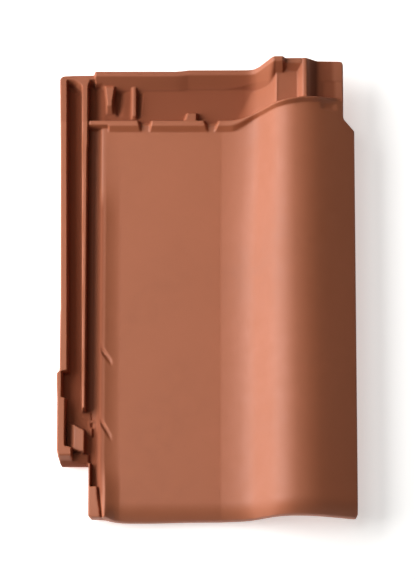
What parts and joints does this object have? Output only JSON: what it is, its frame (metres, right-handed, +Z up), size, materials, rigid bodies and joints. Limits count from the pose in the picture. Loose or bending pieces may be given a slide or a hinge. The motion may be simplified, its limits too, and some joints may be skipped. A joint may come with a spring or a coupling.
{
  "type": "clay roof tile",
  "caption": "Large interlocking clay roof tile with a flat pan, a raised roll on the right, a channelled side lock on the left, a ribbed head lock and batten nibs underneath.",
  "frame": {"origin": "on the floor under the middle of the tile's box, with the tile lying weather face up on its nibs and tail rib", "axes": "+Z up through the weather face, +Y toward the head of the tile, +X toward the roll"},
  "size_m": [0.307, 0.482, 0.066],
  "materials": {
    "fired_clay": "satin"
  },
  "bodies": {
    "root": {"roof_tile": "fired_clay"}
  },
  "joints": []
}
